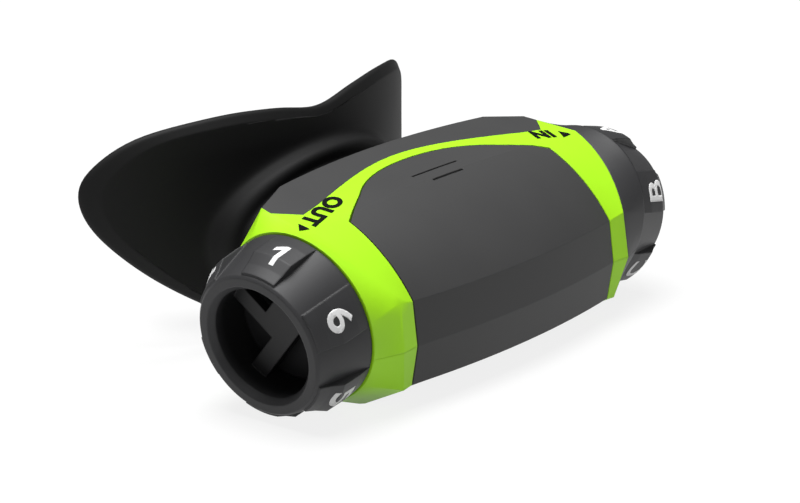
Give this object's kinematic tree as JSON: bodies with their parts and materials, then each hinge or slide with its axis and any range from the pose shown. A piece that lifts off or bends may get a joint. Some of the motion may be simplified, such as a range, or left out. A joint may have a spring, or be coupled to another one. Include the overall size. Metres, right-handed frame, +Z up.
{
  "type": "breathing trainer",
  "caption": "Hand-held breathing trainer: a lime and dark barrel with a turning resistance dial at each end, a detachable sensor module and a shielded silicone mouthpiece.",
  "frame": {"origin": "on the flat resting face, below the middle of the barrel and level with the dial axes in depth", "axes": "+X along the barrel to the breathe-in dial, +Y towards the mouth, +Z up from the resting face"},
  "size_m": [0.1254, 0.0828, 0.0499],
  "materials": {
    "lime_plastic": "satin moulded lime plastic",
    "housing_plastic": "fine satin texture",
    "dial_plastic": "fine satin texture",
    "inner_plastic": "plain moulded",
    "silicone": "matte silicone",
    "spring_steel": "bright",
    "magnet_plating": "nickel plated",
    "contact_plating": "gold plated",
    "circuit_board": "solder mask",
    "sensor_case": "pressed can",
    "cell_foil": "foil pouch",
    "motor_can": "pressed can"
  },
  "bodies": {
    "airflow_unit": {"frame_upper": "lime_plastic", "out_collar_lower": "lime_plastic", "in_collar_lower": "lime_plastic", "rear_housing": "housing_plastic", "mouthpiece_spigot": "housing_plastic", "dock_plate": "inner_plastic", "out_dock_magnet": "magnet_plating", "in_dock_magnet": "magnet_plating", "air_manifold": "inner_plastic", "out_bearing_plate": "inner_plastic", "in_bearing_plate": "inner_plastic", "out_port_plate": "inner_plastic", "in_port_plate": "inner_plastic", "out_valve_seat": "inner_plastic", "in_valve_seat": "inner_plastic", "out_dial_seal": "silicone", "in_dial_seal": "silicone", "out_detent_spring": "spring_steel", "in_detent_spring": "spring_steel"},
    "out_dial": {"out_dial_grip": "dial_plastic", "out_shutter_disc": "dial_plastic", "out_retaining_ring": "spring_steel"},
    "in_dial": {"in_dial_grip": "dial_plastic", "in_shutter_disc": "dial_plastic", "in_retaining_ring": "spring_steel"},
    "out_valve": {"out_valve_flap": "silicone"},
    "in_valve": {"in_valve_flap": "silicone"},
    "sensor_module": {"front_cover": "housing_plastic", "module_back_cover": "inner_plastic", "circuit_board": "circuit_board", "battery_cell": "cell_foil", "pressure_sensor": "sensor_case", "sensor_port_seal": "silicone", "vibration_motor": "motor_can", "charge_contacts": "contact_plating", "out_module_magnet": "magnet_plating", "in_module_magnet": "magnet_plating"},
    "mouthpiece": {"mouthpiece": "silicone"}
  },
  "joints": [
    {"name": "out_dial_turn", "type": "hinge", "parent": "airflow_unit", "child": "out_dial", "pos_m": [-0.0468, 0, 0.0195], "axis": [0.9823, 0, 0.1874], "range_deg": [0, 300], "deforming": ["out_detent_spring"]},
    {"name": "in_dial_turn", "type": "hinge", "parent": "airflow_unit", "child": "in_dial", "pos_m": [0.0468, 0, 0.0195], "axis": [-0.9823, 0, 0.1874], "range_deg": [0, 300], "deforming": ["in_detent_spring"]},
    {"name": "out_valve_lift", "type": "slide", "parent": "airflow_unit", "child": "out_valve", "axis": [-0.9823, 0, -0.1874], "range_m": [0, 0.0012]},
    {"name": "in_valve_lift", "type": "slide", "parent": "airflow_unit", "child": "in_valve", "axis": [-0.9823, 0, 0.1874], "range_m": [0, 0.0012]},
    {"name": "sensor_module_pull", "type": "slide", "parent": "airflow_unit", "child": "sensor_module", "axis": [0, -1, 0], "range_m": [0, 0.04]},
    {"name": "mouthpiece_pull", "type": "slide", "parent": "airflow_unit", "child": "mouthpiece", "axis": [0, 1, 0], "range_m": [0, 0.02]}
  ]
}
